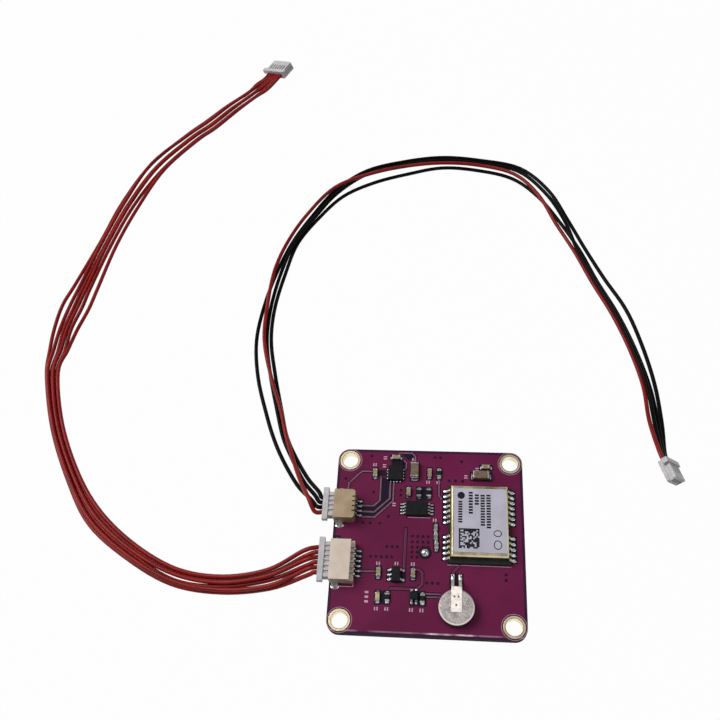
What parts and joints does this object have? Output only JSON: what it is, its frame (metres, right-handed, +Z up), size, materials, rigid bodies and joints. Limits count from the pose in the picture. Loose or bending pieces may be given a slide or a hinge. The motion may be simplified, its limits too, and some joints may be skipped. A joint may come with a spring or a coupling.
{
  "type": "gps module",
  "caption": "Square satellite positioning board with a shielded receiver, backup cell, ceramic antenna underneath, and wire harnesses on small side-entry headers.",
  "frame": {"origin": "under the centre of the mounting holes, on the antenna's outer face", "axes": "+Z up through the board, from antenna to components; the headers face -X; +Y runs along that edge"},
  "size_m": [0.1449, 0.1618, 0.0088],
  "materials": {
    "board": "glossy solder mask",
    "gold_plating": "bright",
    "ceramic": "matt",
    "electrode": "satin",
    "tape": "matt",
    "solder": "bright",
    "carrier": "satin",
    "shield": "satin",
    "label": "matt",
    "chip_resin": "matt",
    "tinned_lead": "bright",
    "capacitor_tan": "satin",
    "capacitor_brown": "satin",
    "resistor_black": "glazed",
    "filter_grey": "satin",
    "lamp": "glossy",
    "cell_steel": "satin",
    "seal": "satin",
    "cell_tab": "bright",
    "header_tan": "satin",
    "header_cream": "satin",
    "plug_white": "satin",
    "wire_black": "glossy",
    "wire_red": "glossy"
  },
  "bodies": {
    "root": {"circuit_board": "board", "hole_plating": "gold_plating", "antenna_ceramic": "ceramic", "antenna_patch": "electrode", "antenna_pin": "electrode", "antenna_tape": "tape", "feed_solder": "solder", "receiver_board": "carrier", "receiver_joints": "solder", "receiver_chip": "chip_resin", "receiver_shield": "shield", "receiver_label": "label", "compass_chip": "chip_resin", "memory_chip": "chip_resin", "memory_leads": "tinned_lead", "regulator_chip": "chip_resin", "regulator_leads": "tinned_lead", "diode_body": "chip_resin", "diode_leads": "tinned_lead", "small_capacitors": "capacitor_tan", "large_capacitors": "capacitor_brown", "resistors": "resistor_black", "filter_parts": "filter_grey", "power_lamp": "lamp", "chip_end_caps": "tinned_lead", "chip_solder": "solder", "cell_tab_bottom": "cell_tab", "cell_cap": "cell_steel", "cell_seal": "seal", "cell_can": "cell_steel", "cell_tab_top": "cell_tab", "header_4_housing": "header_tan", "header_4_contacts": "tinned_lead", "header_4_anchors": "tinned_lead", "header_6_housing": "header_cream", "header_6_contacts": "tinned_lead", "header_6_anchors": "tinned_lead", "plug_4_seated": "plug_white", "plug_4_seated_terminals": "tinned_lead", "plug_4_far": "plug_white", "plug_4_far_terminals": "tinned_lead", "plug_6_seated": "plug_white", "plug_6_seated_terminals": "tinned_lead", "plug_6_far": "plug_white", "plug_6_far_terminals": "tinned_lead", "wire_4_red": "wire_red", "wire_4_black_a": "wire_black", "wire_4_black_b": "wire_black", "wire_4_black_c": "wire_black", "wire_6_1": "wire_red", "wire_6_2": "wire_red", "wire_6_3": "wire_red", "wire_6_4": "wire_red", "wire_6_5": "wire_red", "wire_6_6": "wire_red"}
  },
  "joints": []
}
